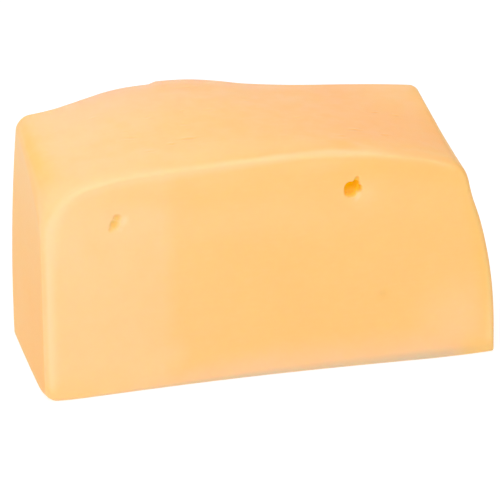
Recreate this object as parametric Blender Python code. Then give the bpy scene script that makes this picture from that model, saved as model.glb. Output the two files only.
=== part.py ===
"""Block of edam cheese cut from a larger loaf, in real size.

The long cut face looks along -Y and the narrow left end along -X.
The top slopes down to the right end, which swells outwards like the side of the loaf.
The sizes below are millimetres from the front left foot: x to the right, y back, z up.
"""
import math

import bmesh
import bpy
import numpy as np

NAME = "edam_cheese"
MM = 0.001

# Block
LENGTH = 150.15
TALLEST = 82.7
CENTRE = (73.764, 30.69)

# Top of the block along the front and along the rear, as (x, height)
FRONT_TOP = ((-10.0, 75.8), (10.0, 76.2), (25.0, 78.7), (45.0, 79.8), (79.0, 80.5),
             (100.0, 78.6), (115.0, 75.8), (127.0, 73.0), (136.0, 70.0), (160.0, 61.0))
REAR_TOP = ((-10.0, 78.2), (4.0, 78.6), (14.0, 79.0), (20.0, 79.9), (32.0, 81.8), (50.0, 82.0),
            (65.0, 81.0), (80.0, 78.9), (94.0, 77.3), (111.0, 76.1), (128.0, 74.7), (140.0, 73.4),
            (160.0, 69.0))

# Depth of the block as (x, depth)
REAR_PLAN = ((-10.0, 51.6), (0.0, 53.0), (20.0, 57.6), (48.0, 62.4), (66.0, 63.2),
             (90.0, 62.2), (115.0, 61.0), (137.0, 60.0), (160.0, 59.0))

# Left end
LEFT_FRONT = -1.7
LEFT_FOOT_SWING = -0.9
LEFT_TOP_SWING = 2.8
LEFT_SWELL = 1.2
LEFT_BOW = 0.2

# Right end
RIGHT_WIDEST = 6.0
RIGHT_RADIUS = 152.0
RIGHT_TOP_SWING = 5.1
RIGHT_SWING_BEND = 1.25
RIGHT_DIP = 0.35
RIGHT_DIP_HEIGHT = 55.5
RIGHT_DIP_REACH = 5.0
RIGHT_KNOB = 0.5
RIGHT_KNOB_HEIGHT = 64.5
RIGHT_KNOB_REACH = 3.5

# Front face
FRONT = -1.8
HOLLOW = 1.8
HOLLOW_ENDS = (6.0, 129.0)
HOLLOW_HEIGHT = 46.0
WAIST = 0.35

# Roundings seen from the front
LEFT_TOP_FRONT = 17.0
LEFT_TOP_REAR = 4.3
LEFT_TOP_FADE = 12.0
RIGHT_TOP_FRONT = 3.0
RIGHT_TOP_REAR = 1.4
RIGHT_TOP_FADE = 20.0
FOOT_CORNER = 1.0
LEFT_FOOT_FRONT = 4.2
LEFT_FOOT_FADE = 6.0

# Rounding of the front rim as (across the face, into the depth)
RIM_LEFT = (5.6, 3.2)
RIM_TOP_LEFT = (3.0, 12.0)
RIM_TOP_RIGHT = (1.5, 4.5)
RIM_RIGHT = (3.0, 3.0)
RIM_FOOT = (1.3, 1.3)
RIM_CHANGE = (92.0, 106.0)
RIM_BLEND = 17.0
FOOT_SHARE = 1.5

# Rear face
REAR_SWELL = 0.9
REAR_ROUND = 1.6
REAR_FOOT = 1.2
REAR_RIGHT = 3.0

# Flake of rind standing up along the rear edge of the top
FLAKE_HEIGHT = 0.8
FLAKE_START = (46.5, 49.5)
FLAKE_END = (56.0, 82.0)
FLAKE_BACK = (52.0, 58.0)

# Eyes in the front face: (x, z, half width, half height, depth, lean to the right in degrees)
EYES = ((99.8, 65.1, 2.7, 3.0, 2.6, 6.0),
        (101.4, 67.1, 1.3, 2.6, 2.0, 12.0),
        (102.0, 64.8, 1.4, 1.8, 1.4, -20.0),
        (22.5, 62.8, 1.3, 1.5, 1.0, 30.0),
        (21.9, 60.8, 1.4, 2.2, 1.1, 26.0))

# Lattice on the block
CELLS = (30, 16, 18)
EDGE_CROWDING = 0.75
CORE_LOW = (18.0, 18.0, 20.0)
CORE_HIGH = (128.0, 40.0, 58.0)
SHORT_EDGE = 0.09


def ramp(low, high, value):
    """Soft step from 0 at low to 1 at high."""
    part = np.clip((value - low) / (high - low), 0.0, 1.0)
    return part * part * (3.0 - 2.0 * part)


def through(stations, value):
    """Smooth line through the stations."""
    place, size = np.array(stations).T
    slope = np.gradient(size, place)
    here = np.clip(np.searchsorted(place, value) - 1, 0, len(place) - 2)
    span = place[here + 1] - place[here]
    part = np.clip((value - place[here]) / span, 0.0, 1.0)
    two = part * part
    three = two * part
    start = (2.0 * three - 3.0 * two + 1.0) * size[here] + (three - 2.0 * two + part) * span * slope[here]
    return start + (3.0 * two - 2.0 * three) * size[here + 1] + (three - two) * span * slope[here + 1]


def rounded(a, b, radius):
    """Two faces meeting in a round edge; the result is below zero inside both."""
    over_a = np.maximum(a + radius, 0.0)
    over_b = np.maximum(b + radius, 0.0)
    return np.minimum(np.maximum(a + radius, b + radius), 0.0) + np.hypot(over_a, over_b) - radius


def oval_edge(a, b, reach_a, reach_b):
    """Two faces meeting in an oval edge; the result is below zero inside both."""
    return np.hypot(np.maximum(a / reach_a + 1.0, 0.0), np.maximum(b / reach_b + 1.0, 0.0)) - 1.0


def top_height(x, y):
    """Height of the top."""
    back = ramp(0.0, 1.0, y / through(REAR_PLAN, x))
    height = through(FRONT_TOP, x) * (1.0 - back) + through(REAR_TOP, x) * back
    flake = ramp(*FLAKE_START, x) * (1.0 - ramp(*FLAKE_END, x)) * ramp(*FLAKE_BACK, y)
    return height + FLAKE_HEIGHT * flake


def faces(x, y, z):
    """How far a point stands outside the left, right, top, foot, front and rear faces."""
    back = y / through(REAR_PLAN, x)
    up = z / TALLEST
    swing = LEFT_FOOT_SWING + (LEFT_TOP_SWING - LEFT_FOOT_SWING) * up
    left = LEFT_FRONT + back * (swing - LEFT_SWELL * 4.0 * up * (1.0 - up)) - x
    left = left - LEFT_BOW * 4.0 * back * (1.0 - back)
    lift = np.maximum(z - RIGHT_WIDEST, 0.0)
    swung = RIGHT_TOP_SWING * np.maximum(back, 0.0) ** RIGHT_SWING_BEND * up ** 2
    right = x - LENGTH + lift * lift / (2.0 * RIGHT_RADIUS) - swung
    right = right + RIGHT_DIP * np.exp(-((z - RIGHT_DIP_HEIGHT) / RIGHT_DIP_REACH) ** 2)
    right = right - RIGHT_KNOB * np.exp(-((z - RIGHT_KNOB_HEIGHT) / RIGHT_KNOB_REACH) ** 2)
    along = np.clip((x - HOLLOW_ENDS[0]) / (HOLLOW_ENDS[1] - HOLLOW_ENDS[0]), 0.0, 1.0)
    hollow = HOLLOW * np.sin(math.pi * along) * (1.0 - ramp(0.0, HOLLOW_HEIGHT, z))
    waist = WAIST * np.sin(math.pi * along) * np.sin(math.pi * np.clip((z - 40.0) / 30.0, 0.0, 1.0))
    front = FRONT + hollow + waist - y
    rear = y - through(REAR_PLAN, x) + REAR_SWELL * (2.0 * up - 1.0) ** 2
    return left, right, z - top_height(x, y), -z, front, rear


def rim_reach(x, left, right, top, foot):
    """Rounding of the front rim, shared out between the four sides."""
    shares = [np.maximum(side + RIM_BLEND, 0.0) ** 3 + 1e-6 for side in (left, top, right, foot)]
    shares[3] = shares[3] * FOOT_SHARE
    change = ramp(*RIM_CHANGE, x)
    reach = []
    for axis in (0, 1):
        crest = RIM_TOP_LEFT[axis] * (1.0 - change) + RIM_TOP_RIGHT[axis] * change
        sizes = (RIM_LEFT[axis], crest, RIM_RIGHT[axis], RIM_FOOT[axis])
        reach.append(sum(s * size for s, size in zip(shares, sizes)) / sum(shares))
    return reach


def outside(x, y, z):
    """Below zero inside the block, above zero outside it."""
    left, right, top, foot, front, rear = faces(x, y, z)
    right = right + rounded(right, rear, REAR_RIGHT) - np.maximum(right, rear)
    corner = LEFT_TOP_REAR + (LEFT_TOP_FRONT - LEFT_TOP_REAR) * np.exp(-np.maximum(y, 0.0) / LEFT_TOP_FADE)
    shoulder = RIGHT_TOP_REAR + (RIGHT_TOP_FRONT - RIGHT_TOP_REAR) * np.exp(-(y / RIGHT_TOP_FADE) ** 2)
    outline = np.maximum(rounded(left, top, corner), rounded(right, top, shoulder))
    heel = FOOT_CORNER + (LEFT_FOOT_FRONT - FOOT_CORNER) * np.exp(-((y - FRONT) / LEFT_FOOT_FADE) ** 2)
    ends = np.maximum(rounded(left, foot, heel), rounded(right, foot, FOOT_CORNER))
    outline = np.maximum(outline, ends)
    reach = rim_reach(x, left, right, top, foot)
    rim = oval_edge(outline, front, reach[0], reach[1])
    rear_reach = REAR_FOOT + (REAR_ROUND - REAR_FOOT) * ramp(2.0, 12.0, z)
    return np.maximum(rim, oval_edge(outline, rear, rear_reach, rear_reach))


def crowded(part):
    """Even steps from 0 to 1 drawn towards both ends."""
    return part - EDGE_CROWDING * np.sin(2.0 * math.pi * part) / (2.0 * math.pi)


def on_faces(shares):
    """Points of the sharp-edged block, given as shares of its length, depth and height."""
    middle = (0.5 * (np.array(CORE_LOW) + np.array(CORE_HIGH)))[:, None]
    x, y, z = np.repeat(middle, len(shares), axis=1)
    for _ in range(12):
        left, right, top, foot, front, rear = faces(x, y, z)
        x, y, z = (x + left - shares[:, 0] * (left + right),
                   y + front - shares[:, 1] * (front + rear),
                   z + foot - shares[:, 2] * (foot + top))
    return np.stack((x, y, z), axis=1)


def on_surface(shares):
    """Each lattice point carried on to the rounded block along the line from the core."""
    points = on_faces(crowded(shares))
    core = np.clip(points, CORE_LOW, CORE_HIGH)
    line = points - core
    near = np.zeros(len(points))
    far = np.full(len(points), 1.5)
    for _ in range(44):
        middle = 0.5 * (near + far)
        spot = core + line * middle[:, None]
        out = outside(*spot.T) > 0.0
        far = np.where(out, middle, far)
        near = np.where(out, near, middle)
    spot = core + line * near[:, None]
    spot[:, 2] = np.where(spot[:, 2] < 0.001, 0.0, spot[:, 2])
    return spot


def lattice(bm, cells):
    """Cube divided into cells along each axis."""
    bmesh.ops.create_cube(bm, size=1.0)
    for axis, count in enumerate(cells):
        across = []
        for edge in bm.edges:
            step = edge.verts[1].co - edge.verts[0].co
            if abs(step[axis]) > 0.5 * step.length:
                across.append(edge)
        bmesh.ops.subdivide_edges(bm, edges=across, cuts=count - 1, use_grid_fill=True)


def placed(spots):
    """Millimetres from the front left foot turned into metres from the centre of the foot."""
    shift = np.array((CENTRE[0], CENTRE[1], 0.0))
    return (np.atleast_2d(spots) - shift) * MM


def block(home, material):
    """The block without its eyes."""
    bm = bmesh.new()
    lattice(bm, CELLS)
    corners = np.array([vert.co[:] for vert in bm.verts]) + 0.5
    for vert, spot in zip(bm.verts, placed(on_surface(corners))):
        vert.co = spot
    bmesh.ops.recalc_face_normals(bm, faces=bm.faces[:])
    mesh = bpy.data.meshes.new(NAME)
    bm.to_mesh(mesh)
    bm.free()
    mesh.materials.append(material)
    cheese = bpy.data.objects.new(NAME, mesh)
    home.objects.link(cheese)
    return cheese


def eye_cutter(home, number, eye):
    """Oval that carves one eye out of the front face."""
    x, z, wide, high, deep, lean = eye
    bm = bmesh.new()
    bmesh.ops.create_icosphere(bm, subdivisions=2, radius=1.0)
    turn = math.radians(lean)
    middle = float(faces(np.array(x), np.array(0.0), np.array(z))[4])
    for vert in bm.verts:
        side = vert.co.x * wide
        rise = vert.co.z * high
        spot = (x + side * math.cos(turn) + rise * math.sin(turn),
                middle + vert.co.y * deep,
                z - side * math.sin(turn) + rise * math.cos(turn))
        vert.co = placed(spot)[0]
    mesh = bpy.data.meshes.new(f"eye_{number}")
    bm.to_mesh(mesh)
    bm.free()
    cutter = bpy.data.objects.new(f"eye_{number}", mesh)
    cutter.display_type = "WIRE"
    cutter.hide_render = True
    home.objects.link(cutter)
    return cutter


def cheese_material():
    """Pale orange yellow paste."""
    material = bpy.data.materials.new("cheese")
    material.use_nodes = True
    shader = material.node_tree.nodes["Principled BSDF"]
    shader.inputs["Base Color"].default_value = (0.98, 0.62, 0.23, 1.0)
    shader.inputs["Roughness"].default_value = 0.5
    return material


def main():
    for item in list(bpy.data.objects):
        bpy.data.objects.remove(item, do_unlink=True)
    shown = bpy.data.collections.new("edam cheese")
    hidden = bpy.data.collections.new("eye cutters")
    for collection in (shown, hidden):
        bpy.context.scene.collection.children.link(collection)
    cheese = block(shown, cheese_material())
    for number, eye in enumerate(EYES, start=1):
        carve = cheese.modifiers.new(f"eye {number}", "BOOLEAN")
        carve.operation = "DIFFERENCE"
        carve.solver = "EXACT"
        carve.object = eye_cutter(hidden, number, eye)
    tidy = cheese.modifiers.new("short edges", "WELD")
    tidy.merge_threshold = SHORT_EDGE * MM


main()
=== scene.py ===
import math

import bmesh
import bpy
import numpy as np
from mathutils import Matrix, Vector, noise


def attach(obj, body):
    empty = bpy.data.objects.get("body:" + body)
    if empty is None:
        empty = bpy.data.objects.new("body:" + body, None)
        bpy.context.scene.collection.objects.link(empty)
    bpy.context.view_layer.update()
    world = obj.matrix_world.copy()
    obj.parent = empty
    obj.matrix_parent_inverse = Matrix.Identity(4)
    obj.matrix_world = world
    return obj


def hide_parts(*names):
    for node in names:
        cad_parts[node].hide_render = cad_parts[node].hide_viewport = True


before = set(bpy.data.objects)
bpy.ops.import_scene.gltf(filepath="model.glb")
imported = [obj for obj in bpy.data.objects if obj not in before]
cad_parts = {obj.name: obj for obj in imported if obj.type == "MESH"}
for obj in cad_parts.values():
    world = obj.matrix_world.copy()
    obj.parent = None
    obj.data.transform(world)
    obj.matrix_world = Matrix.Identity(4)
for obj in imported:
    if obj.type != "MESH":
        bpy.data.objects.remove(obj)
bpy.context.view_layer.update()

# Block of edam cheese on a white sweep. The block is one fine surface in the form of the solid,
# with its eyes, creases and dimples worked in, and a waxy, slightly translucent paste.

MM = 0.001

# Form of the block, in millimetres from the front left foot: x right, y back, z up
LENGTH = 150.15
TALLEST = 82.7
CENTRE = (73.764, 30.69)
FRONT_TOP = ((-10.0, 75.8), (10.0, 76.2), (25.0, 78.7), (45.0, 79.8), (79.0, 80.5),
             (100.0, 78.6), (115.0, 75.8), (127.0, 73.0), (136.0, 70.0), (160.0, 61.0))
REAR_TOP = ((-10.0, 78.2), (4.0, 78.6), (14.0, 79.0), (20.0, 79.9), (32.0, 81.8), (50.0, 82.0),
            (65.0, 81.0), (80.0, 78.9), (94.0, 77.3), (111.0, 76.1), (128.0, 74.7), (140.0, 73.4),
            (160.0, 69.0))
REAR_PLAN = ((-10.0, 51.6), (0.0, 53.0), (20.0, 57.6), (48.0, 62.4), (66.0, 63.2),
             (90.0, 62.2), (115.0, 61.0), (137.0, 60.0), (160.0, 59.0))
LEFT_FRONT = -1.7
LEFT_FOOT_SWING = -0.9
LEFT_TOP_SWING = 2.8
LEFT_SWELL = 1.2
LEFT_BOW = 0.2
RIGHT_WIDEST = 6.0
RIGHT_RADIUS = 152.0
RIGHT_TOP_SWING = 5.1
RIGHT_SWING_BEND = 1.25
RIGHT_DIP = 0.35
RIGHT_DIP_HEIGHT = 55.5
RIGHT_DIP_REACH = 5.0
RIGHT_KNOB = 0.5
RIGHT_KNOB_HEIGHT = 64.5
RIGHT_KNOB_REACH = 3.5
FRONT = -1.8
HOLLOW = 1.8
HOLLOW_ENDS = (6.0, 129.0)
HOLLOW_HEIGHT = 46.0
WAIST = 0.35
WAIST_FOOT = 40.0
WAIST_TALL = 30.0
LEFT_TOP_FRONT = 17.0
LEFT_TOP_REAR = 4.3
LEFT_TOP_FADE = 12.0
RIGHT_TOP_FRONT = 3.0
RIGHT_TOP_REAR = 1.4
RIGHT_TOP_FADE = 20.0
FOOT_CORNER = 1.0
LEFT_FOOT_FRONT = 4.2
LEFT_FOOT_FADE = 6.0
RIM_LEFT = (5.6, 3.2)
RIM_TOP_LEFT = (3.0, 12.0)
RIM_TOP_RIGHT = (1.5, 4.5)
RIM_RIGHT = (3.0, 3.0)
RIM_FOOT = (1.3, 1.3)
RIM_CHANGE = (92.0, 106.0)
RIM_BLEND = 17.0
FOOT_SHARE = 1.5
REAR_SWELL = 0.9
REAR_ROUND = 1.6
REAR_FOOT = 1.2
REAR_FOOT_FADE = (2.0, 12.0)
REAR_RIGHT = 3.0
FLAKE_HEIGHT = 0.8
FLAKE_START = (46.5, 49.5)
FLAKE_END = (56.0, 82.0)
FLAKE_BACK = (52.0, 58.0)

# Fine surface: cells along each axis, and how far they crowd to the edges
CELLS = (150, 72, 88)
EDGE_CROWDING = 0.45
# Core that the lines to the surface start from; steps of the two searches for a point, the end of
# its line, and the height below which it lies on the foot
CORE_LOW = (18.0, 18.0, 20.0)
CORE_HIGH = (128.0, 40.0, 58.0)
FACE_ROUNDS = 12
HALVINGS = 40
LINE_END = 1.5
FLAT = 0.001

# Eyes in the front face: (x, z, half width, half height, depth, lean to the right in degrees)
LARGE_EYE = ((99.6, 64.6, 2.5, 2.85, 2.2, 6.0),
             (101.0, 65.8, 1.4, 2.2, 2.1, 10.0),
             (101.3, 67.3, 0.9, 2.0, 0.75, 6.0),
             (102.1, 64.8, 1.2, 1.5, 1.3, 0.0))
SMALL_EYE = ((22.8, 63.0, 1.5, 1.6, 0.60, 20.0),
             (21.9, 60.8, 1.8, 2.2, 0.70, 22.0),
             (21.0, 59.5, 1.2, 1.6, 0.45, 25.0))
# Where the wall of an eye starts and ends, in half widths
LARGE_WALL = (0.66, 1.08)
SMALL_WALL = (0.30, 1.15)
EYE_SQUARENESS = 2.4
EYE_ROUNDING = 0.86
# Depths from which the eyes have their full painted shade
LARGE_EYE_FULL = 1.2
SMALL_EYE_FULL = 1.2
# Painted shade at its deepest orange in the large eye, as an oval like the eyes, and the depths over which it
# comes in
EYE_CORE = (99.6, 65.9, 3.2, 1.7, 1.0, 0.0)
EYE_CORE_SPAN = (0.3, 0.9)
# Lower part of the large eye, whose floor is lit, with less painted shade: heights over which it ends, and
# share
EYE_LOW = (62.8, 65.3)
EYE_LOW_SHARE = 0.22
# Painted highlight on the lips beside the eyes: (x, z, half width, half height, share, lean to the right in
# degrees)
EYE_LIP_HIGHLIGHTS = ((102.0, 61.9, 0.9, 1.8, 0.9, 33.0), (103.8, 62.5, 4.5, 4.3, 0.33, 0.0),
            (25.2, 61.7, 1.4, 2.2, 1.2, 10.0), (23.8, 58.9, 1.5, 1.4, 0.7, 30.0),
            (23.0, 61.0, 4.0, 4.0, 0.15, 0.0))
EYE_LIP_END = (0.0, 0.2)
# Soft dips round the eyes: (x, z, radius, depth)
EYE_DIPS = ((100.6, 65.0, 4.6, 0.42), (22.3, 61.6, 3.4, 0.34))
# Where the finer cells of the eyes are: how far behind the front, between which heights, and how
# many half widths out, with their cuts
EYE_BEHIND = 1.6
EYE_HEIGHTS = (40.0, 75.0)
FINE_EYES = ((LARGE_EYE, 1.7, 3), (SMALL_EYE, 1.9, 3), (LARGE_EYE, 1.12, 1))

# Faint dips in the front face: (x, z, half width, half height, depth)
FRONT_DIPS = ((111.0, 26.2, 1.5, 1.7, 0.24), (121.5, 22.0, 1.1, 0.6, 0.12), (82.0, 46.0, 1.6, 2.4, 0.09),
              (94.8, 40.3, 3.6, 4.4, 0.10), (77.1, 27.2, 1.8, 2.2, 0.08), (86.2, 22.5, 0.9, 0.9, 0.08),
              (30.7, 28.0, 0.7, 0.6, 0.12), (30.8, 42.0, 0.7, 0.6, 0.10), (61.0, 33.0, 1.2, 0.5, 0.08))
# Depth from which a dip has its full painted shade
DIP_FULL = 0.24

# Creases in the top: (x, y, half length, half width, depth, turn in degrees)
TOP_CREASES = ((40.9, 34.7, 1.3, 0.50, 0.16, 184.0), (32.4, 21.4, 2.0, 0.55, 0.20, 165.0),
               (50.1, 15.7, 2.7, 0.55, 0.24, 2.0), (51.0, 26.7, 1.2, 0.50, 0.18, 168.0),
               (44.0, 13.2, 1.2, 0.60, 0.22, 10.0), (36.2, 9.9, 1.4, 0.50, 0.12, 0.0),
               (52.9, 36.5, 0.8, 0.50, 0.14, 0.0), (51.8, 22.6, 0.7, 0.45, 0.12, 0.0),
               (31.5, 26.6, 0.8, 0.50, 0.12, 10.0), (99.6, 9.9, 1.3, 0.55, 0.16, 12.0),
               (105.7, 16.4, 2.3, 0.55, 0.22, -4.0), (117.4, 33.2, 1.4, 0.50, 0.20, -6.0),
               (115.0, 13.6, 1.4, 0.50, 0.18, -4.0), (124.0, 31.5, 1.4, 0.50, 0.16, -10.0),
               (89.1, 27.3, 1.5, 0.70, 0.10, 10.0), (62.0, 36.0, 1.6, 0.50, 0.10, 6.0),
               (24.0, 40.0, 1.6, 0.50, 0.10, 8.0), (76.0, 44.0, 1.8, 0.50, 0.08, -5.0),
               (58.0, 54.5, 5.5, 0.45, 0.07, 3.0))
# Winding of a crease and the distance of its lip, in half widths, and the height of the lip
CREASE_WOBBLE = 0.35
CREASE_WAVES = 2.3
CREASE_LIP = 1.7
LIP_HEIGHT = 0.7
# Depth from which a crease has its full painted highlight on the lip and painted shade in the groove
CREASE_FULL = 0.26
# Where the finer cells of the creases are: lowest height, how far below the top, and how many
# half lengths and half widths out, with their cuts
CREASE_LOWEST = 60.0
CREASE_BELOW = 2.0
CREASE_ALONG = 1.9
CREASE_ACROSS = (-3.0, 4.2)
CREASE_CUTS = 2
# Shallow dents in the top: (x, y, half width, half depth, depth)
TOP_DENTS = ((36.0, 32.8, 2.2, 3.0, 0.22), (115.6, 23.5, 1.6, 3.0, 0.20), (123.4, 22.5, 1.6, 3.0, 0.14),
             (48.2, 11.0, 1.5, 2.6, 0.12), (66.9, 8.5, 2.0, 2.6, 0.14), (89.4, 27.0, 2.0, 3.0, 0.12),
             (31.0, 27.0, 1.8, 2.6, 0.12), (120.0, 4.5, 1.6, 2.4, 0.10), (25.5, 9.0, 2.0, 2.6, 0.10))

# Slow unevenness of the faces: (height, size, seed), its (loss, start, end) on the left end, and the
# heights over which it comes in above the foot
SLOW = ((0.09, 17.0, 3.1), (0.03, 5.0, 7.7))
SLOW_LEFT = (0.7, 0.5, 0.9)
SLOW_FOOT = (0.4, 5.0)

# Turns of the surface over which a mark comes in, as parts of the outward direction
RELIEF_TURN = (0.55, 0.9)
FRONT_TURN = (0.2, 0.8)
ZONE_TURN = (0.3, 0.8)
RIND_TURN = (0.35, 0.9)
HEEL_TURN = (0.5, 0.9)

# Painted shade along the rounded edge between the left end and the top, where it has less sheen:
# shift off the middle of the corner, widths above and below as (part of the rounding, rest), how far
# below the faces it fades as (distance, width), where it comes in at the front, and its (loss, start,
# end) towards the rear
EDGE_SHIFT = -0.2
EDGE_ABOVE = (0.15, 1.5)
EDGE_BELOW = (0.30, 5.0)
EDGE_INSIDE = (1.0, 3.0)
EDGE_START = (-4.0, 20.0)
EDGE_FRONT = (0.5, 8.0)
EDGE_REAR = (0.55, 30.0, 52.0)
# Painted shade along the right edge of the top: (share, inset, width), and where it comes in
TOP_END = (0.5, 0.8, 2.6)
TOP_END_START = (0.5, 6.0)
# Painted shade along the right edge of the front face: (share, width, more width low down), the
# heights between which it narrows, and the turn over which it comes in
FRONT_END = (0.8, 2.8, 1.8)
FRONT_END_HEIGHTS = (35.0, 60.0)
FRONT_END_TURN = (-0.1, 0.5)
# Painted shade at the foot at the right and at the left: (share, height), and where it comes in or ends
RIGHT_FOOT = (0.9, 6.0)
RIGHT_FOOT_START = (134.0, 142.0)
LEFT_FOOT = (0.42, 9.0)
LEFT_FOOT_END = (8.0, 30.0)
# Painted shade in yellow strips below and behind the rim at the right: (share, distance, width),
# and where they come in
UNDER_RIM = (0.21, 5.5, 3.5)
UNDER_RIM_START = (82.0, 100.0)
BEHIND_RIM = (0.36, 4.5, 4.0)
BEHIND_RIM_START = (86.0, 106.0)
# Yellower places in the front face: (x, z, half width, half height, share)
YELLOW_PLACES = ((97.0, 69.5, 6.5, 4.0, 0.22), (86.0, 60.0, 24.0, 7.0, 0.08), (111.2, 25.9, 1.9, 2.6, 0.30),
                 (86.0, 75.0, 14.0, 3.5, 0.18))

# Painted highlight along the rim of the front face: (place along it from the left foot over the corner
# to the right, how far it lies inside the outline, share, width)
RIM_HIGHLIGHT_LINE = ((-80.0, 1.8, 0.9, 1.0), (-36.0, 1.9, 0.95, 1.1), (-26.0, 2.0, 1.0, 1.3), (-16.0, 2.2, 1.0, 2.1),
            (-7.0, 2.9, 1.0, 2.2), (-3.0, 2.6, 0.90, 2.1), (3.0, 2.3, 0.72, 1.8), (10.0, 2.2, 0.70, 1.9),
            (18.0, 2.0, 0.62, 1.9), (36.0, 2.3, 0.70, 1.8), (56.0, 2.4, 0.80, 1.5), (68.0, 2.4, 0.95, 1.2),
            (96.0, 1.4, 0.9, 0.9), (106.0, 0.9, 0.85, 0.8), (116.0, 1.0, 0.58, 0.7), (122.0, 1.0, 0.42, 0.7),
            (129.0, 1.3, 0.42, 0.7), (146.0, 1.6, 0.0, 0.7))
# Its parts of the width above and below, the wider part above at the right, and where it ends
# towards the rear, on the whole and at the right, and towards the foot
RIM_ABOVE = 0.6
RIM_BELOW = 1.7
RIM_ABOVE_MORE = 1.2
RIM_TO_RIGHT = (98.0, 112.0)
RIM_REAR = (4.0, 9.0)
RIM_REAR_RIGHT = (0.0, 4.5)
RIM_FROM_FOOT = (2.0, 7.0)
# Painted highlight in a strip below the rim and painted sheen in a strip behind it: share, where they fade
# away from it, and where along it
PALE_UNDER_HIGHLIGHT = 0.2
PALE_UNDER_FADE = (2.0, 16.0)
PALE_UNDER_END = (80.0, 110.0)
PALE_BEHIND_SHEEN = 0.24
PALE_BEHIND_FADE = (3.0, 13.0)
PALE_BEHIND_START = (25.0, 50.0)
PALE_BEHIND_END = (80.0, 102.0)
# Places in the front face with a painted highlight like the rim: (x, z, half width, half height, share)
RIM_HIGHLIGHT_PLACES = ((7.0, 57.0, 8.0, 16.0, 0.30), (27.0, 60.0, 16.0, 7.5, 0.38), (86.0, 75.0, 14.0, 3.5, 0.33))

# Left end: turns to the left and to the front between which it counts, more generous low down
LEFT_LOW = (45.0, 68.0)
LEFT_LOW_GAIN = 0.12
LEFT_LOW_EASE = 0.5
LEFT_FROM = (0.80, 0.96)
LEFT_TO = (0.03, 0.22)
# Painted shade in the deeper colour of the left end: (loss, start, end) towards the top and towards the rear
SIDE_HIGH = (0.85, 25.0, 85.0)
SIDE_REAR = (0.25, 8.0, 45.0)
# Paler paste towards the rear edge of the top: (share, start, end) of the wide and the narrow part,
# where it comes in from the left, and its (loss, start, end) to the right
REAR_FAR = (0.35, 4.0, 34.0)
REAR_NEAR = (0.45, 0.0, 9.0)
REAR_START = (0.0, 36.0)
REAR_END = (0.7, 60.0, 110.0)

# Paleness of the paste along the front face, as (x, share), where that of the top ends, and
# (loss, start, end) of how far the left end goes without it
PALE_LINE = ((0.0, 0.95), (24.0, 0.95), (37.0, 0.93), (43.0, 0.30), (60.0, 0.15), (80.0, 0.03), (150.0, 0.05))
PALE_TOP = (6.0, 78.0)
PALE_LEFT = (0.6, 45.0, 85.0)
# Paler places in the front face, and the painted shade of the deeper strip below the rim at the
# left: (x, z, half width, half height, share)
PALE_PLACES = ((137.0, 12.0, 12.0, 14.0, 0.95), (60.0, 58.0, 60.0, 10.0, 0.42), (38.0, 13.0, 8.0, 9.0, 0.95))
SHADED_STRIP_PLACE = (30.0, 71.0, 14.0, 5.0, 0.45)
# Painted shade on the warmer right part of the top: where it comes in, its share at the front and
# the rest further back, and its (loss, start, end) along the block at the rear right and at the front
# right, each with the places from front to back between which it changes
WARM_START = (40.0, 118.0)
WARM_FRONT = 0.65
WARM_REST = 0.35
WARM_BACK = (2.0, 16.0)
WARM_REAR_RIGHT = (0.55, 105.0, 130.0)
WARM_REAR = (25.0, 50.0)
WARM_FRONT_RIGHT = (0.5, 116.0, 132.0)
WARM_RIM = (1.0, 7.0)
# Painted shadow in the grey band of the foot and painted floor light in the pale band above it, as
# (x, height, share), the parts of their height over which they fade, and the painted shadow in the
# grey foot of the left end as (share, start, end)
HEEL_SHADOW_LINE = ((0.0, 1.6, 0.3), (20.0, 1.8, 0.5), (60.0, 3.0, 0.8), (100.0, 4.5, 0.9), (134.0, 5.5, 1.0),
             (144.0, 5.5, 0.35))
FLOOR_LIGHT_LINE = ((0.0, 2.5, 0.0), (20.0, 3.0, 0.15), (45.0, 9.0, 0.9), (75.0, 15.0, 1.0), (133.0, 15.0, 1.0),
             (144.0, 15.0, 0.0))
FOOT_FADE = (0.15, 1.0)
HEEL_SHADOW_LEFT = (0.35, 0.5, 4.0)

# Colours of the paste
PASTE = (0.98, 0.546, 0.170)
PASTE_LEFT = (0.98, 0.597, 0.266)
PASTE_RIGHT_SHADE = (0.98, 0.460, 0.143)
PASTE_FLOOR_LIGHT = (0.95, 0.565, 0.275)
PASTE_CLOUD = (0.975, 0.515, 0.165)
# pale tone of the specks and streaks, also the painted highlight of the rim and of the crease lips
PASTE_PALE = (0.96, 0.66, 0.345)
PASTE_EYE_SHADE = (1.0, 0.535, 0.040)
PASTE_EYE_CORE_SHADE = (1.0, 0.44, 0.0)
PASTE_REAR = (0.88, 0.52, 0.36)
PASTE_SIDE_SHADE = (1.0, 0.470, 0.088)
HEEL_SHADOW = (0.64, 0.505, 0.33)
SHADE_AND_YELLOW = (0.985, 0.97, 0.66)
# painted shade in the grooves of the creases and in the dips of the front face
GROOVE_SHADE = (0.89, 0.92, 0.97)
RIND = (0.92, 0.49, 0.15)
# Largest shares of the painted highlight of the rim, and of the painted highlight on the lips and painted
# shade in the grooves of the creases
RIM_HIGHLIGHT_MOST = 0.85
LIP_HIGHLIGHT_MOST = 0.4
GROOVE_SHADE_MOST = 0.55

# Mottling: (size, detail, roughness, stretch), the span of the noise that shows, and its share
CLOUDS = (24.0, 3.0)
CLOUD_SPAN = (0.35, 0.72)
CLOUD_SHARE = 0.30
SPECKS = (3.2, 3.0, 0.6)
SPECK_SPAN = (0.40, 0.80)
SPECK_SHARE = 0.05
STREAKS = (1.3, 2.0, 0.5, (5.0, 1.0, 1.0))
STREAK_SPAN = (0.45, 0.80)
STREAK_SHARE = 0.05
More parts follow.
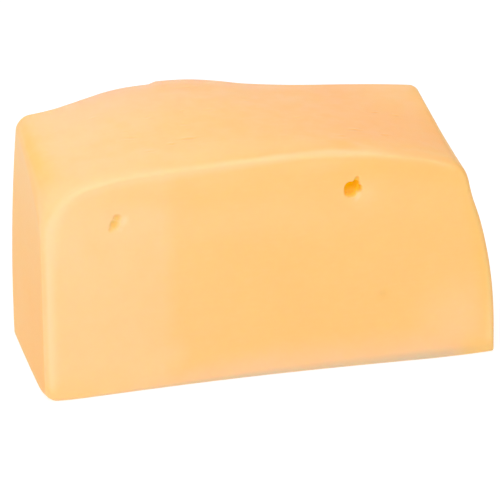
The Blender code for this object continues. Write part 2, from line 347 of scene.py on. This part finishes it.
# Roughness: its noise, the span of that, and the (least, most) on the whole and on the left end
SHEEN = (6.0, 3.0)
SHEEN_SPAN = (0.3, 0.7)
ROUGHNESS = (0.40, 0.52)
ROUGHNESS_LEFT = (0.46, 0.47)
# Bumps: their noises, (strength, height), and the strength on the left end
GRAIN = (0.9, 3.0, 0.6)
GRAIN_BUMP = (0.10, 0.05)
STREAK_BUMP = (0.22, 0.12)
STREAK_BUMP_LEFT = 0.02
SKIN = (5.5, 2.0)
SKIN_BUMP = (0.25, 0.4)
SKIN_BUMP_LEFT = 0.05
# Share of the left end from which its own strengths and roughness hold
LEFT_FULL = 0.5

# Gloss, light under the surface and a painted glow that stands in for light through the cheese,
# which change into the eyes as (start, end, value outside, value inside)
REFRACTION = 1.45
GLOSS = (0.2, 1.0, 0.5, 0.0)
UNDER_SURFACE = (0.0, 0.6, 0.35, 0.85)
UNDER_SURFACE_REACH = (1.0, 0.45, 0.16)
UNDER_SURFACE_DEPTH = 0.004
GLOW = (1.0, 0.38, 0.0)
GLOW_SPAN = (0.3, 1.0, 0.0, 0.08)

# Floor
FLOOR_SIZE = 6.0
FLOOR_GREY = (0.35, 0.35, 0.35, 1.0)
FLOOR_ROUGHNESS = 0.9
FLOOR_GLOW = 0.75
WHITE = (1.0, 1.0, 1.0, 1.0)

# Light: strength of the surroundings, and place, size and power of the soft boxes, and the spot
# that they look at
SURROUNDINGS = 0.65
KEY = ((-0.33, -0.54, 0.96), 0.6, 5.85)
BACK = ((0.25, 1.2, 0.75), 1.2, 2.6)
LIT_SPOT = (0.0, 0.0, 0.04)

# Camera, in millimetres from the front left foot
SIGHT = (74.0, 30.0, 31.9)
YAW = -14.1
PITCH = 25.0
DISTANCE = 1063.0
FOCAL_PIXELS = 3200.0
PICTURE = 500.0
SENSOR = 36.0
CLIP = (0.05, 50.0)


def ramp(low, high, value):
    """Soft step from 0 at low to 1 at high."""
    part = np.clip((value - low) / (high - low), 0.0, 1.0)
    return part * part * (3.0 - 2.0 * part)


def fall(low, high, value):
    """Soft step from 1 at low to 0 at high."""
    return 1.0 - ramp(low, high, value)


def weakened(loss, low, high, value):
    """Soft step from 1 at low to what the loss leaves at high."""
    return 1.0 - loss * ramp(low, high, value)


def through(stations, value):
    """Smooth line through the stations."""
    place, size = np.array(stations).T
    slope = np.gradient(size, place)
    here = np.clip(np.searchsorted(place, value) - 1, 0, len(place) - 2)
    span = place[here + 1] - place[here]
    part = np.clip((value - place[here]) / span, 0.0, 1.0)
    two = part * part
    three = two * part
    start = (2.0 * three - 3.0 * two + 1.0) * size[here] + (three - 2.0 * two + part) * span * slope[here]
    return start + (3.0 * two - 2.0 * three) * size[here + 1] + (three - two) * span * slope[here + 1]


def rounded(a, b, radius):
    """Two faces meeting in a round edge; the result is below zero inside both."""
    over_a = np.maximum(a + radius, 0.0)
    over_b = np.maximum(b + radius, 0.0)
    return np.minimum(np.maximum(a + radius, b + radius), 0.0) + np.hypot(over_a, over_b) - radius


def oval_edge(a, b, reach_a, reach_b):
    """Two faces meeting in an oval edge; the result is below zero inside both."""
    return np.hypot(np.maximum(a / reach_a + 1.0, 0.0), np.maximum(b / reach_b + 1.0, 0.0)) - 1.0


def left_corner(y):
    """Rounding between the left end and the top, which is tighter towards the rear."""
    return LEFT_TOP_REAR + (LEFT_TOP_FRONT - LEFT_TOP_REAR) * np.exp(-np.maximum(y, 0.0) / LEFT_TOP_FADE)


def top_height(x, y):
    """Height of the top."""
    back = ramp(0.0, 1.0, y / through(REAR_PLAN, x))
    height = through(FRONT_TOP, x) * (1.0 - back) + through(REAR_TOP, x) * back
    flake = ramp(*FLAKE_START, x) * fall(*FLAKE_END, x) * ramp(*FLAKE_BACK, y)
    return height + FLAKE_HEIGHT * flake


def faces(x, y, z):
    """How far a point stands outside the left, right, top, foot, front and rear faces."""
    back = y / through(REAR_PLAN, x)
    up = z / TALLEST
    swing = LEFT_FOOT_SWING + (LEFT_TOP_SWING - LEFT_FOOT_SWING) * up
    left = LEFT_FRONT + back * (swing - LEFT_SWELL * 4.0 * up * (1.0 - up)) - x
    left = left - LEFT_BOW * 4.0 * back * (1.0 - back)
    lift = np.maximum(z - RIGHT_WIDEST, 0.0)
    swung = RIGHT_TOP_SWING * np.maximum(back, 0.0) ** RIGHT_SWING_BEND * up ** 2
    right = x - LENGTH + lift * lift / (2.0 * RIGHT_RADIUS) - swung
    right = right + RIGHT_DIP * np.exp(-((z - RIGHT_DIP_HEIGHT) / RIGHT_DIP_REACH) ** 2)
    right = right - RIGHT_KNOB * np.exp(-((z - RIGHT_KNOB_HEIGHT) / RIGHT_KNOB_REACH) ** 2)
    along = np.clip((x - HOLLOW_ENDS[0]) / (HOLLOW_ENDS[1] - HOLLOW_ENDS[0]), 0.0, 1.0)
    hollow = HOLLOW * np.sin(math.pi * along) * fall(0.0, HOLLOW_HEIGHT, z)
    rise = np.clip((z - WAIST_FOOT) / WAIST_TALL, 0.0, 1.0)
    waist = WAIST * np.sin(math.pi * along) * np.sin(math.pi * rise)
    front = FRONT + hollow + waist - y
    rear = y - through(REAR_PLAN, x) + REAR_SWELL * (2.0 * up - 1.0) ** 2
    return left, right, z - top_height(x, y), -z, front, rear


def rim_reach(x, left, right, top, foot):
    """Rounding of the front rim, shared out between the four sides."""
    shares = [np.maximum(side + RIM_BLEND, 0.0) ** 3 + 1e-6 for side in (left, top, right, foot)]
    shares[3] = shares[3] * FOOT_SHARE
    change = ramp(*RIM_CHANGE, x)
    reach = []
    for axis in (0, 1):
        crest = RIM_TOP_LEFT[axis] * (1.0 - change) + RIM_TOP_RIGHT[axis] * change
        sizes = (RIM_LEFT[axis], crest, RIM_RIGHT[axis], RIM_FOOT[axis])
        reach.append(sum(s * size for s, size in zip(shares, sizes)) / sum(shares))
    return reach


def outside(x, y, z):
    """Below zero inside the block, above zero outside it."""
    left, right, top, foot, front, rear = faces(x, y, z)
    right = right + rounded(right, rear, REAR_RIGHT) - np.maximum(right, rear)
    shoulder = RIGHT_TOP_REAR + (RIGHT_TOP_FRONT - RIGHT_TOP_REAR) * np.exp(-(y / RIGHT_TOP_FADE) ** 2)
    outline = np.maximum(rounded(left, top, left_corner(y)), rounded(right, top, shoulder))
    heel = FOOT_CORNER + (LEFT_FOOT_FRONT - FOOT_CORNER) * np.exp(-((y - FRONT) / LEFT_FOOT_FADE) ** 2)
    ends = np.maximum(rounded(left, foot, heel), rounded(right, foot, FOOT_CORNER))
    outline = np.maximum(outline, ends)
    reach = rim_reach(x, left, right, top, foot)
    rim = oval_edge(outline, front, reach[0], reach[1])
    rear_reach = REAR_FOOT + (REAR_ROUND - REAR_FOOT) * ramp(*REAR_FOOT_FADE, z)
    return np.maximum(rim, oval_edge(outline, rear, rear_reach, rear_reach))


def crowded(part):
    """Even steps from 0 to 1 drawn towards both ends."""
    return part - EDGE_CROWDING * np.sin(2.0 * math.pi * part) / (2.0 * math.pi)


def on_faces(shares):
    """Points of the sharp-edged block, given as shares of its length, depth and height."""
    middle = (0.5 * (np.array(CORE_LOW) + np.array(CORE_HIGH)))[:, None]
    x, y, z = np.repeat(middle, len(shares), axis=1)
    for _ in range(FACE_ROUNDS):
        left, right, top, foot, front, rear = faces(x, y, z)
        x, y, z = (x + left - shares[:, 0] * (left + right),
                   y + front - shares[:, 1] * (front + rear),
                   z + foot - shares[:, 2] * (foot + top))
    return np.stack((x, y, z), axis=1)


def on_surface(shares):
    """Each lattice point carried on to the rounded block along the line from the core."""
    points = on_faces(crowded(shares))
    core = np.clip(points, CORE_LOW, CORE_HIGH)
    line = points - core
    near = np.zeros(len(points))
    far = np.full(len(points), LINE_END)
    for _ in range(HALVINGS):
        middle = 0.5 * (near + far)
        spot = core + line * middle[:, None]
        out = outside(*spot.T) > 0.0
        far = np.where(out, middle, far)
        near = np.where(out, near, middle)
    spot = core + line * near[:, None]
    spot[:, 2] = np.where(spot[:, 2] < FLAT, 0.0, spot[:, 2])
    return spot


def lattice(bm, cells):
    """Cube divided into cells along each axis."""
    bmesh.ops.create_cube(bm, size=1.0)
    for axis, count in enumerate(cells):
        across = []
        for edge in bm.edges:
            step = edge.verts[1].co - edge.verts[0].co
            if abs(step[axis]) > 0.5 * step.length:
                across.append(edge)
        bmesh.ops.subdivide_edges(bm, edges=across, cuts=count - 1, use_grid_fill=True)


def oval_reach(x, z, eye):
    """Distance from the middle of an oval, 1 on its rim."""
    turn = math.radians(eye[5])
    across = ((x - eye[0]) * math.cos(turn) - (z - eye[1]) * math.sin(turn)) / eye[2]
    along = ((x - eye[0]) * math.sin(turn) + (z - eye[1]) * math.cos(turn)) / eye[3]
    return (abs(across) ** EYE_SQUARENESS + abs(along) ** EYE_SQUARENESS) ** (1.0 / EYE_SQUARENESS)


def eye_depth(x, z, eyes, wall):
    """Depth of an eye made of several ovals with steep walls and round floors."""
    depth = np.zeros_like(x)
    for eye in eyes:
        reach = oval_reach(x, z, eye)
        bowl = np.sqrt(np.clip(1.0 - (EYE_ROUNDING * reach) ** 2, 0.0, 1.0))
        depth = np.maximum(depth, eye[4] * bowl * fall(*wall, reach))
    return depth


def bump(a, b):
    """Round hump of height 1, from the two distances in half widths."""
    return np.exp(-(a * a + b * b))


def in_places(places, x, z):
    """Largest share of the oval places in the front face, 0 away from them."""
    share = np.zeros_like(x)
    for middle, height, wide, high, most in places:
        share = np.maximum(share, most * bump((x - middle) / wide, (z - height) / high))
    return share


def crease_place(x, y, mark):
    """Place of a point along and across a crease, in its half length and half width."""
    turn = math.radians(mark[5])
    along = ((x - mark[0]) * math.cos(turn) + (y - mark[1]) * math.sin(turn)) / mark[2]
    across = (-(x - mark[0]) * math.sin(turn) + (y - mark[1]) * math.cos(turn)) / mark[3]
    return along, across + CREASE_WOBBLE * np.sin(CREASE_WAVES * along + mark[0])


def creases(x, y):
    """Height of the narrow grooves with a low lip beside them, and their painted highlight on the lip and
    painted shade in the groove.
    """
    height = np.zeros_like(x)
    shade = np.zeros_like(x)
    for mark in TOP_CREASES:
        along, across = crease_place(x, y, mark)
        groove = bump(along, across)
        lip = bump(along, across - CREASE_LIP)
        height += mark[4] * (LIP_HEIGHT * lip - groove)
        shade += mark[4] * (lip - groove) / CREASE_FULL
    return height, shade


def near_eye(eyes, grow):
    """Test for a place in the front face round an eye."""
    def inside(spot):
        if spot.y > FRONT + EYE_BEHIND or not EYE_HEIGHTS[0] < spot.z < EYE_HEIGHTS[1]:
            return False
        return min(oval_reach(spot.x, spot.z, eye) for eye in eyes) < grow
    return inside


def near_crease(spot):
    """Test for a place in the top at a crease."""
    if spot.z < CREASE_LOWEST or spot.z < top_height(spot.x, spot.y) - CREASE_BELOW:
        return False
    for mark in TOP_CREASES:
        along, across = crease_place(spot.x, spot.y, mark)
        if abs(along) < CREASE_ALONG and CREASE_ACROSS[0] < across < CREASE_ACROSS[1]:
            return True
    return False


def refine(bm, wanted, cuts):
    """More cells at the wanted places."""
    near = [face for face in bm.faces if wanted(face.calc_center_median())]
    edges = list({edge for face in near for edge in face.edges})
    bmesh.ops.subdivide_edges(bm, edges=edges, cuts=cuts, use_grid_fill=True)


def waves(points, size, seed):
    """Slow unevenness between -1 and 1."""
    shift = Vector((seed, 2.0 * seed, -seed))
    return np.array([noise.noise(Vector(p) / size + shift) for p in points])


def relief(spot, normal):
    """Points moved by the eyes, dips, creases and slow unevenness; also the shares of the painted shade of
    the eyes and of the painted highlight and shade of the creases and dips.
    """
    x, y, z = spot.T
    front = ramp(*RELIEF_TURN, -normal[:, 1])
    top = ramp(*RELIEF_TURN, normal[:, 2])
    large = eye_depth(x, z, LARGE_EYE, LARGE_WALL) * front
    small = eye_depth(x, z, SMALL_EYE, SMALL_WALL) * front
    push = np.zeros_like(x)
    dip = np.zeros_like(x)
    for dx, dz, radius, depth in EYE_DIPS:
        push += depth * bump((x - dx) / radius, (z - dz) / radius)
    for dx, dz, wide, high, depth in FRONT_DIPS:
        push += depth * bump((x - dx) / wide, (z - dz) / high)
        dip += depth * bump((x - dx) / wide, (z - dz) / high) / DIP_FULL
    lift, shade = creases(x, y)
    for dx, dy, wide, deep, depth in TOP_DENTS:
        lift -= depth * bump((x - dx) / wide, (y - dy) / deep)
    slow = sum(height * waves(spot, size, seed) for height, size, seed in SLOW)
    slow = slow * weakened(*SLOW_LEFT, -normal[:, 0])
    moved = spot + normal * (slow * ramp(*SLOW_FOOT, z))[:, None]
    moved[:, 1] += large + small + push * front
    moved[:, 2] += lift * top
    moved[:, 2] = np.clip(moved[:, 2], 0.0, TALLEST)
    # share of painted shade in the eyes, less in the lit lower part of the large eye
    low = EYE_LOW_SHARE * fall(*EYE_LOW, z)
    eyes = np.clip(large / LARGE_EYE_FULL, 0.0, 1.0) * (1.0 - low) + small / SMALL_EYE_FULL
    return moved, eyes, shade * top - dip * front


def soft_band(distance, width):
    """1 on a line, falling softly to 0 beside it."""
    return np.exp(-(distance / width) ** 2)


def lopsided_band(distance, above, below):
    """1 on a line, falling softly to 0 within two different widths beside it."""
    return soft_band(distance, np.where(distance > 0.0, above, below))


def edge_shade_and_yellow(spot, normal):
    """Share of the painted shade along the edges and at the foot, and of the yellower paste in the yellow
    places.
    """
    x, y, z = spot.T
    left, right, top, foot, front, rear = faces(x, y, z)
    facing = ramp(*FRONT_TURN, -normal[:, 1])
    upward = ramp(*ZONE_TURN, normal[:, 2])
    above, below = [part * left_corner(y) + rest for part, rest in (EDGE_ABOVE, EDGE_BELOW)]
    edge = lopsided_band(left - top + EDGE_SHIFT, above, below)
    edge = edge * soft_band(np.maximum(left, top) + EDGE_INSIDE[0], EDGE_INSIDE[1])
    edge = edge * ramp(*EDGE_START, y) * ramp(*EDGE_FRONT, y) * weakened(*EDGE_REAR, y)
    # painted shade along the right edge of the top and of the front face
    share, inset, width = TOP_END
    ends = soft_band(np.hypot(right + inset, 0.5 * (top + inset)), width) * ramp(*TOP_END_START, y)
    edge = np.maximum(edge, share * ends)
    share, width, more = FRONT_END
    ends = soft_band(right, width + more * fall(*FRONT_END_HEIGHTS, z))
    edge = np.maximum(edge, share * ends * ramp(*FRONT_END_TURN, -normal[:, 1]))
    # painted shade at the foot
    share, height = RIGHT_FOOT
    edge = np.maximum(edge, share * soft_band(foot, height) * facing * ramp(*RIGHT_FOOT_START, x))
    share, height = LEFT_FOOT
    edge = np.maximum(edge, share * soft_band(foot, height) * fall(*LEFT_FOOT_END, x))
    # painted shade in strips below and behind the rim
    share, distance, width = UNDER_RIM
    edge = np.maximum(edge, share * soft_band(top + distance, width) * facing * ramp(*UNDER_RIM_START, x))
    share, distance, width = BEHIND_RIM
    edge = np.maximum(edge, share * upward * soft_band(y - distance, width) * ramp(*BEHIND_RIM_START, x))
    return np.maximum(edge, in_places(YELLOW_PLACES, x, z) * facing)


def rim_highlight(spot, normal, eyes):
    """Share of the painted highlight on the rim of the front face, on the lips of the eyes and on the paste
    beside them.
    """
    x, y, z = spot.T
    left, right, top, foot, front, rear = faces(x, y, z)
    facing = ramp(*FRONT_TURN, -normal[:, 1])
    upward = ramp(*ZONE_TURN, normal[:, 2])
    place, inset, share, width = np.array(RIM_HIGHLIGHT_LINE).T
    along = top - left
    wide = np.interp(along, place, width)
    outline = np.maximum(rounded(left, top, LEFT_TOP_FRONT), right) + np.interp(along, place, inset)
    to_right = ramp(*RIM_TO_RIGHT, along)
    above = RIM_ABOVE * wide * (1.0 + RIM_ABOVE_MORE * to_right)
    rim = lopsided_band(outline, above, RIM_BELOW * wide) * np.interp(along, place, share)
    low, high = [whole + (other - whole) * to_right for whole, other in zip(RIM_REAR, RIM_REAR_RIGHT)]
    rim = rim * fall(low, high, y) * ramp(*RIM_FROM_FOOT, z)
    # painted highlight on the lips of the eyes, where they face the light
    for lip in EYE_LIP_HIGHLIGHTS:
        beside = lip[4] * soft_band(oval_reach(x, z, lip), 1.0) * ramp(*RELIEF_TURN, -normal[:, 1])
        rim = np.maximum(rim, beside * fall(*EYE_LIP_END, eyes))
    # painted highlight below the rim and painted sheen behind it on the top
    under = PALE_UNDER_HIGHLIGHT * fall(*PALE_UNDER_FADE, -top) * facing * fall(*PALE_UNDER_END, x)
    behind = PALE_BEHIND_SHEEN * fall(*PALE_BEHIND_FADE, y) * upward
    behind = behind * ramp(*PALE_BEHIND_START, x) * fall(*PALE_BEHIND_END, x)
    rim = np.maximum(rim, np.maximum(under, behind))
    # places with a painted highlight like the rim
    return np.maximum(rim, in_places(RIM_HIGHLIGHT_PLACES, x, z) * facing)


def marks(spot, normal, eyes):
    """Shares of the painted shade along the edges and the yellow places, the painted highlight of the rim,
    the rind side and the painted shade in the core of the large eye.
    """
    rind = ramp(*RIND_TURN, normal[:, 0])
    core = soft_band(oval_reach(spot[:, 0], spot[:, 2], EYE_CORE), 1.0) * ramp(*EYE_CORE_SPAN, eyes)
    return np.stack((edge_shade_and_yellow(spot, normal), rim_highlight(spot, normal, eyes), rind, core), axis=1)


def leftward(spot, normal):
    """Share of the left end, which stops at the first turn towards the front."""
    low = fall(*LEFT_LOW, spot[:, 2])
    turned = ramp(*LEFT_FROM, LEFT_LOW_GAIN * low - normal[:, 0])
    return turned * fall(*LEFT_TO, -(1.0 - LEFT_LOW_EASE * low) * normal[:, 1])


def rearward(spot, normal):
    """Share of the paler paste towards the rear edge of the top."""
    inside = -faces(*spot.T)[5]
    share = sum(most * fall(low, high, inside) for most, low, high in (REAR_FAR, REAR_NEAR))
    share = share * ramp(*REAR_START, spot[:, 0]) * weakened(*REAR_END, spot[:, 0])
    return share * ramp(*ZONE_TURN, normal[:, 2])


def along_foot(line, x, z):
    """Share of a band along the foot whose height and share change along the block."""
    place, height, share = np.array(line).T
    return np.interp(x, place, share) * fall(*FOOT_FADE, z / np.interp(x, place, height))


def zones(spot, normal):
    """Shares of the pale paste, the painted shade of the warm right part, the painted floor light on the foot
    band and the painted shadow of the grey heel.
    """
    x, y, z = spot.T
    facing = ramp(*ZONE_TURN, -normal[:, 1])
    upward = ramp(*ZONE_TURN, normal[:, 2])
    pale = np.interp(x, *np.array(PALE_LINE).T) * facing + fall(*PALE_TOP, x) * (1.0 - facing)
    pale = np.maximum(pale, in_places(PALE_PLACES, x, z) * facing)
    # painted shade in the strip below the rim at the left
    pale = pale * (1.0 - in_places([SHADED_STRIP_PLACE], x, z) * facing)
    pale = pale * (1.0 - leftward(spot, normal) * weakened(*PALE_LEFT, z))
    # painted shade on the warmer right part of the top
    warm_shade = ramp(*WARM_START, x) * upward * (WARM_FRONT + WARM_REST * ramp(*WARM_BACK, y))
    loss, low, high = WARM_REAR_RIGHT
    warm_shade = warm_shade * (1.0 - loss * ramp(low, high, x) * ramp(*WARM_REAR, y))
    loss, low, high = WARM_FRONT_RIGHT
    warm_shade = warm_shade * (1.0 - loss * ramp(low, high, x) * fall(*WARM_RIM, y))
    # painted floor light on the band above the foot, and painted shadow at the heel
    floor_light = along_foot(FLOOR_LIGHT_LINE, x, z) * facing
    heel = along_foot(HEEL_SHADOW_LINE, x, z) * facing
    share, low, high = HEEL_SHADOW_LEFT
    heel = np.maximum(heel, share * fall(low, high, z) * ramp(*HEEL_TURN, -normal[:, 0]))
    return np.stack((pale, warm_shade, floor_light, heel), axis=1)


def block():
    """The block as one fine surface."""
    bm = bmesh.new()
    lattice(bm, CELLS)
    spots = on_surface(np.array([vert.co[:] for vert in bm.verts]) + 0.5)
    for vert, spot in zip(bm.verts, spots):
        vert.co = spot
    for eyes, grow, cuts in FINE_EYES:
        refine(bm, near_eye(eyes, grow), cuts)
    refine(bm, near_crease, CREASE_CUTS)
    bmesh.ops.recalc_face_normals(bm, faces=bm.faces[:])
    mesh = bpy.data.meshes.new("edam_block")
    bm.to_mesh(mesh)
    bm.free()
    spots = np.zeros(len(mesh.vertices) * 3)
    mesh.vertices.foreach_get("co", spots)
    spots = spots.reshape(-1, 3)
    normals = np.array([item.vector[:] for item in mesh.vertex_normals])
    moved, eyes, shade = relief(spots, normals)
    shift = np.array((CENTRE[0], CENTRE[1], 0.0))
    mesh.vertices.foreach_set("co", ((moved - shift) * MM).ravel())
    for name, shares in (("marks", marks(spots, normals, eyes)), ("zones", zones(spots, normals))):
        layer = mesh.attributes.new(name, "FLOAT_COLOR", "POINT")
        layer.data.foreach_set("color", shares.ravel())
    left = leftward(spots, normals)
    # painted shade of the left end, weaker towards the top and the rear
    side = left * weakened(*SIDE_HIGH, spots[:, 2]) * weakened(*SIDE_REAR, spots[:, 1])
    rear = rearward(spots, normals)
    for name, shares in (("eye", eyes), ("crease_light_shade", shade), ("side", side), ("rear", rear), ("left", left)):
        layer = mesh.attributes.new(name, "FLOAT", "POINT")
        layer.data.foreach_set("value", shares)
    mesh.shade_smooth()
    mesh.update()
    piece = bpy.data.objects.new("edam_block", mesh)
    bpy.context.scene.collection.objects.link(piece)
    return piece


class Shade:
    """Small helper that adds and joins shader nodes."""

    def __init__(self, material):
        self.tree = material.node_tree
        self.shader = self.tree.nodes["Principled BSDF"]

    def add(self, kind, **values):
        node = self.tree.nodes.new(kind)
        for key, value in values.items():
            setattr(node, key, value)
        return node

    def join(self, start, end):
        self.tree.links.new(start, end)

    def noise(self, place, size, detail, rough=0.5, stretch=(1.0, 1.0, 1.0)):
        drawn = self.add("ShaderNodeMapping")
        drawn.inputs["Scale"].default_value = [1.0 / (size * MM * part) for part in stretch]
        self.join(place, drawn.inputs["Vector"])
        node = self.add("ShaderNodeTexNoise")
        node.inputs["Scale"].default_value = 1.0
        node.inputs["Detail"].default_value = detail
        node.inputs["Roughness"].default_value = rough
        self.join(drawn.outputs["Vector"], node.inputs["Vector"])
        return node.outputs["Fac"]

    def shares(self, name):
        layer = self.add("ShaderNodeAttribute", attribute_name=name)
        parts = self.add("ShaderNodeSeparateColor")
        self.join(layer.outputs["Color"], parts.inputs[0])
        return (*parts.outputs[:3], layer.outputs["Alpha"])

    def span(self, value, low, high, to_low=0.0, to_high=1.0):
        node = self.add("ShaderNodeMapRange", interpolation_type="SMOOTHSTEP")
        node.inputs["From Min"].default_value = low
        node.inputs["From Max"].default_value = high
        node.inputs["To Min"].default_value = to_low
        node.inputs["To Max"].default_value = to_high
        self.join(value, node.inputs["Value"])
        return node.outputs["Result"]

    def mix(self, share, most, first, second, blend="MIX"):
        """Blend of two colours by a share that is at most the given value."""
        part = self.add("ShaderNodeMath", operation="MULTIPLY")
        self.join(share, part.inputs[0])
        part.inputs[1].default_value = most
        node = self.add("ShaderNodeMix", data_type="RGBA", blend_type=blend)
        self.join(part.outputs[0], node.inputs[0])
        for socket, colour in ((node.inputs[6], first), (node.inputs[7], second)):
            if isinstance(colour, tuple):
                socket.default_value = (*colour, 1.0)
            else:
                self.join(colour, socket)
        return node.outputs[2]

    def bumps(self, height, strength, distance, under=None):
        node = self.add("ShaderNodeBump")
        node.inputs["Strength"].default_value = strength
        node.inputs["Distance"].default_value = distance * MM
        self.join(height, node.inputs["Height"])
        if under is not None:
            self.join(under, node.inputs["Normal"])
        return node.outputs["Normal"]


def paste():
    """Waxy cheese paste with faint mottling."""
    material = bpy.data.materials.new("cheese_paste")
    material.use_nodes = True
    shade = Shade(material)
    sockets = shade.shader.inputs
    place = shade.add("ShaderNodeTexCoord").outputs["Object"]
    edge, rim, rind, core = shade.shares("marks")
    pale, warm_shade, floor_light, heel = shade.shares("zones")
    eye, crease_light_shade, side, rear, left = [shade.add("ShaderNodeAttribute", attribute_name=name).outputs["Fac"]
                                   for name in ("eye", "crease_light_shade", "side", "rear", "left")]
    clouds = shade.noise(place, *CLOUDS)
    specks = shade.noise(place, *SPECKS)
    streaks = shade.noise(place, *STREAKS)
    colour = shade.mix(pale, 1.0, PASTE, PASTE_LEFT)
    # painted shade on the warmer right part of the top
    colour = shade.mix(warm_shade, 1.0, colour, PASTE_RIGHT_SHADE)
    colour = shade.mix(rear, 1.0, colour, PASTE_REAR)
    # painted shade of the left end
    colour = shade.mix(side, 1.0, colour, PASTE_SIDE_SHADE)
    # painted floor light on the band above the foot
    colour = shade.mix(floor_light, 1.0, colour, PASTE_FLOOR_LIGHT)
    # painted shadow at the heel
    colour = shade.mix(heel, 1.0, colour, HEEL_SHADOW)
    colour = shade.mix(shade.span(clouds, *CLOUD_SPAN), CLOUD_SHARE, colour, PASTE_CLOUD)
    colour = shade.mix(shade.span(specks, *SPECK_SPAN), SPECK_SHARE, colour, PASTE_PALE)
    colour = shade.mix(shade.span(streaks, *STREAK_SPAN), STREAK_SHARE, colour, PASTE_PALE)
    # painted highlight along the rim of the front face and beside the eyes
    colour = shade.mix(rim, RIM_HIGHLIGHT_MOST, colour, PASTE_PALE)
    colour = shade.mix(rind, 1.0, colour, RIND)
    # painted shade along the edges and at the foot, and the yellower places
    colour = shade.mix(edge, 1.0, colour, SHADE_AND_YELLOW, "MULTIPLY")
    # painted highlight on the lips of the creases
    colour = shade.mix(shade.span(crease_light_shade, 0.0, 1.0), LIP_HIGHLIGHT_MOST, colour, PASTE_PALE)
    # painted shade in the grooves of the creases and in the dips
    colour = shade.mix(shade.span(crease_light_shade, 0.0, -1.0), GROOVE_SHADE_MOST, colour, GROOVE_SHADE, "MULTIPLY")
    # painted shade in the eyes
    colour = shade.mix(eye, 1.0, colour, PASTE_EYE_SHADE)
    # deepest painted shade in the core of the large eye
    colour = shade.mix(core, 1.0, colour, PASTE_EYE_CORE_SHADE)
    shade.join(colour, sockets["Base Color"])
    rough = shade.span(shade.noise(place, *SHEEN), *SHEEN_SPAN, *ROUGHNESS)
    for name, whole, at_left in zip(("To Min", "To Max"), ROUGHNESS, ROUGHNESS_LEFT):
        shade.join(shade.span(left, 0.0, LEFT_FULL, whole, at_left), rough.node.inputs[name])
    shade.join(rough, sockets["Roughness"])
    sockets["IOR"].default_value = REFRACTION
    shade.join(shade.span(eye, *GLOSS), sockets["Specular IOR Level"])
    shade.join(shade.span(eye, *UNDER_SURFACE), sockets["Subsurface Weight"])
    sockets["Subsurface Radius"].default_value = UNDER_SURFACE_REACH
    sockets["Subsurface Scale"].default_value = UNDER_SURFACE_DEPTH
    # painted glow in the eyes, standing in for light through the cheese
    sockets["Emission Color"].default_value = (*GLOW, 1.0)
    shade.join(shade.span(eye, *GLOW_SPAN), sockets["Emission Strength"])
    bumps = shade.bumps(shade.noise(place, *GRAIN), *GRAIN_BUMP)
    for height, (strength, distance), at_left in ((streaks, STREAK_BUMP, STREAK_BUMP_LEFT),
                                                  (shade.noise(place, *SKIN), SKIN_BUMP, SKIN_BUMP_LEFT)):
        bumps = shade.bumps(height, strength, distance, bumps)
        shade.join(shade.span(left, 0.0, LEFT_FULL, strength, at_left), bumps.node.inputs["Strength"])
    shade.join(bumps, sockets["Normal"])
    return material


def floor_material():
    """White sweep that stays white under the block."""
    material = bpy.data.materials.new("white_sweep")
    material.use_nodes = True
    shader = material.node_tree.nodes["Principled BSDF"]
    shader.inputs["Base Color"].default_value = FLOOR_GREY
    shader.inputs["Roughness"].default_value = FLOOR_ROUGHNESS
    shader.inputs["Specular IOR Level"].default_value = 0.0
    shader.inputs["Emission Color"].default_value = WHITE
    shader.inputs["Emission Strength"].default_value = FLOOR_GLOW
    return material


def floor():
    """Wide plain floor."""
    bm = bmesh.new()
    bmesh.ops.create_grid(bm, x_segments=2, y_segments=2, size=FLOOR_SIZE)
    mesh = bpy.data.meshes.new("floor")
    bm.to_mesh(mesh)
    bm.free()
    mesh.materials.append(floor_material())
    piece = bpy.data.objects.new("floor", mesh)
    bpy.context.scene.collection.objects.link(piece)


def in_row(spot):
    """Millimetres from the front left foot turned into metres of the row frame."""
    return Vector((spot[0] - CENTRE[0], spot[1] - CENTRE[1], spot[2])) * MM


def camera():
    """Long lens, looking down on the front from a little to the left."""
    yaw = math.radians(YAW)
    pitch = math.radians(PITCH)
    back = Vector((math.sin(yaw) * math.cos(pitch), -math.cos(yaw) * math.cos(pitch), math.sin(pitch)))
    right = Vector((math.cos(yaw), math.sin(yaw), 0.0))
    up = back.cross(right)
    lens = bpy.data.cameras.new("camera")
    lens.sensor_width = SENSOR
    lens.lens = SENSOR * FOCAL_PIXELS / PICTURE
    lens.clip_start, lens.clip_end = CLIP
    eye = bpy.data.objects.new("camera", lens)
    turn = Matrix((right, up, back)).transposed().to_4x4()
    eye.matrix_world = Matrix.Translation(in_row(SIGHT) + back * DISTANCE * MM) @ turn
    bpy.context.scene.collection.objects.link(eye)
    bpy.context.scene.camera = eye


def soft_light(name, place, size, power):
    """Square soft box that looks at the block."""
    lamp = bpy.data.lights.new(name, "AREA")
    lamp.shape = "SQUARE"
    lamp.size = size
    lamp.energy = power
    box = bpy.data.objects.new(name, lamp)
    box.location = place
    box.rotation_euler = (Vector(place) - Vector(LIT_SPOT)).to_track_quat("Z", "Y").to_euler()
    bpy.context.scene.collection.objects.link(box)


def light():
    """White surroundings, a large soft box above the front and one behind."""
    world = bpy.data.worlds.new("white surroundings")
    world.use_nodes = True
    ground = world.node_tree.nodes["Background"]
    ground.inputs["Color"].default_value = WHITE
    ground.inputs["Strength"].default_value = SURROUNDINGS
    bpy.context.scene.world = world
    soft_light("key", *KEY)
    soft_light("back", *BACK)
    bpy.context.scene.view_settings.view_transform = "Standard"


def main():
    camera()
    floor()
    light()
    cheese = block()
    cheese.data.materials.append(paste())
    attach(cheese, "root")
    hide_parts("edam_cheese")


main()
